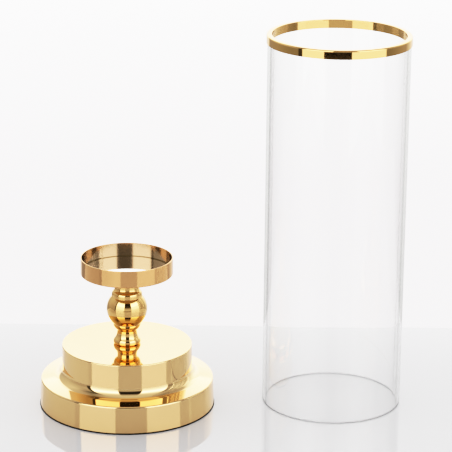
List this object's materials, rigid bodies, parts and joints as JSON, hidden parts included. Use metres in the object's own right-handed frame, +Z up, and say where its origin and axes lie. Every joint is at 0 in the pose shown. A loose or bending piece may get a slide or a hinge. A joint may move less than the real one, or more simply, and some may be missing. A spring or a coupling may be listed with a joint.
{
  "type": "hurricane candle lantern",
  "caption": "Hurricane lantern: a stepped polished gold stand with a turned column and shallow mirrored candle cup, and an open clear glass chimney with a gold rim.",
  "frame": {"origin": "centre of the stand's underside, on the surface that the stand rests on", "axes": "+Z up along the stand's column; +X towards the chimney, which stands beside the stand; +Y completes a right-handed frame"},
  "size_m": [0.3398, 0.1636, 0.3516],
  "materials": {
    "polished_gold": "mirror-polished pale gold plating",
    "satin_gold": "satin-brushed pale gold plating",
    "mirror_glass": "silvered mirror disc with a fine bevel",
    "clear_glass": "clear fire-polished glass",
    "clear_silicone": "translucent",
    "black_felt": "matt black felt",
    "hardboard": "bare pressed board",
    "foam_tape": "matt foam",
    "zinc_steel": "bright zinc plating"
  },
  "bodies": {
    "stand": {"base_shell": "polished_gold", "felt_pad": "black_felt", "base_board": "hardboard", "tie_rod": "zinc_steel", "spreader_plate": "zinc_steel", "flat_washer": "zinc_steel", "lock_washer": "zinc_steel", "rod_nut": "zinc_steel", "column_foot": "polished_gold", "column_ball": "polished_gold", "column_cap": "polished_gold", "candle_cup": "satin_gold", "cup_boss": "zinc_steel", "mirror_tape": "foam_tape", "cup_mirror": "mirror_glass"},
    "chimney": {"glass_tube": "clear_glass", "rim_band": "polished_gold", "band_seal": "clear_silicone"}
  },
  "joints": [
    {"name": "chimney_lift", "type": "slide", "parent": "stand", "child": "chimney", "axis": [0, 0, 1], "range_m": [0, 0.2]}
  ]
}
